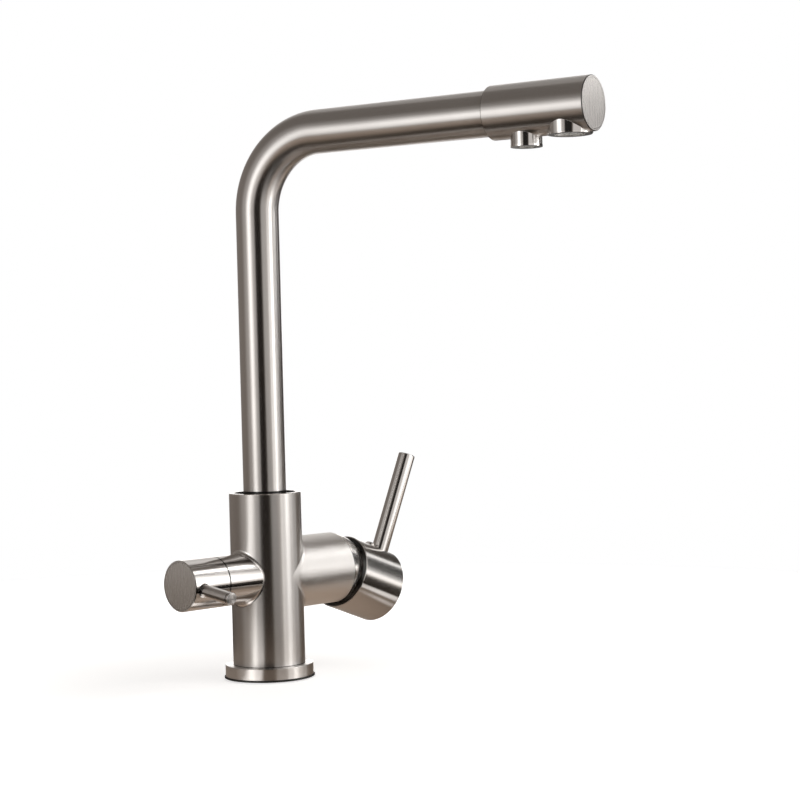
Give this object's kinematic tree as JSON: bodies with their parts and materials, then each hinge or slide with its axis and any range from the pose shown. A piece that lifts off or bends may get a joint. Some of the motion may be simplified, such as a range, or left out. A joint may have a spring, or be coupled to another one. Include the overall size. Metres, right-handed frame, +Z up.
{
  "type": "drinking water filter tap",
  "caption": "Tall kitchen mixer tap with a swivelling L-shaped spout, a side lever for hot and cold water, a side knob for filtered water and a separate outlet for each in the spout's head.",
  "frame": {"origin": "on the column's axis at the worktop, at the mouth of the fixing stud's hole", "axes": "+Z up along the column, -Y towards the user, +X towards the mixer lever, -X towards the filter knob"},
  "size_m": [0.1847, 0.2405, 0.3279],
  "materials": {
    "nickel": "satin brushed nickel plating",
    "bright_chrome": "bright plating",
    "brass": "machined",
    "black_rubber": "moulded",
    "ceramic": "lapped",
    "pale_plastic": "moulded",
    "steel": "machined"
  },
  "bodies": {
    "base": {"base_gasket": "black_rubber", "base_flange": "nickel", "tap_body": "nickel", "spout_nut": "nickel", "filter_feed_pipe": "brass", "cartridge_base": "pale_plastic", "cartridge_seals": "black_rubber", "cartridge_shell": "pale_plastic", "cartridge_fixed_disc": "ceramic", "cartridge_nut": "brass", "bonnet_ring": "bright_chrome", "filter_valve_shell": "brass", "filter_valve_seal": "black_rubber", "filter_valve_fixed_disc": "ceramic"},
    "spout": {"spout_base": "brass", "spout_o_rings": "black_rubber", "spout_tube": "nickel", "filter_hose": "pale_plastic", "filter_elbow": "brass", "spout_head": "nickel", "spout_end_cap": "nickel", "main_aerator_ring": "bright_chrome", "main_aerator_core": "pale_plastic", "main_aerator_washer": "black_rubber", "filter_nozzle_ring": "bright_chrome", "filter_nozzle_core": "pale_plastic", "filter_nozzle_washer": "black_rubber"},
    "mixer_carrier": {"cartridge_carrier": "pale_plastic", "cartridge_pin": "steel"},
    "mixer_lever": {"cartridge_stem": "steel", "mixer_hub": "nickel", "mixer_lever_rod": "nickel", "hub_set_screw": "steel", "hub_index_plug": "nickel"},
    "mixer_disc": {"cartridge_moving_disc": "ceramic", "cartridge_disc_guide": "pale_plastic"},
    "filter_handle": {"filter_valve_spindle": "brass", "filter_valve_moving_disc": "ceramic", "filter_knob": "nickel", "filter_knob_cap": "nickel", "filter_knob_screw": "steel", "filter_knob_lever": "nickel"}
  },
  "joints": [
    {"name": "spout_swivel", "type": "hinge", "parent": "base", "child": "spout", "pos_m": [0, 0, 0.1], "axis": [0, 0, 1], "continuous": true},
    {"name": "mixer_turn", "type": "hinge", "parent": "base", "child": "mixer_carrier", "pos_m": [0.05, 0, 0.0587], "axis": [1, 0, 0], "range_deg": [-49.5, 40.5]},
    {"name": "mixer_lift", "type": "hinge", "parent": "mixer_carrier", "child": "mixer_lever", "pos_m": [0.05, 0, 0.0587], "axis": [0, 0.9969, 0.0785], "range_deg": [-20.4, 1.5]},
    {"name": "mixer_disc_slide", "type": "slide", "parent": "mixer_carrier", "child": "mixer_disc", "axis": [0, -0.0785, 0.9969], "range_m": [-0.0051, 0.0004]},
    {"name": "filter_turn", "type": "hinge", "parent": "base", "child": "filter_handle", "pos_m": [-0.05, 0, 0.0587], "axis": [1, 0, 0], "range_deg": [-90, 0]}
  ],
  "couplings": [
    {"joint": "mixer_disc_slide", "follows": "mixer_lift", "m_per_rad": 0.014196}
  ]
}
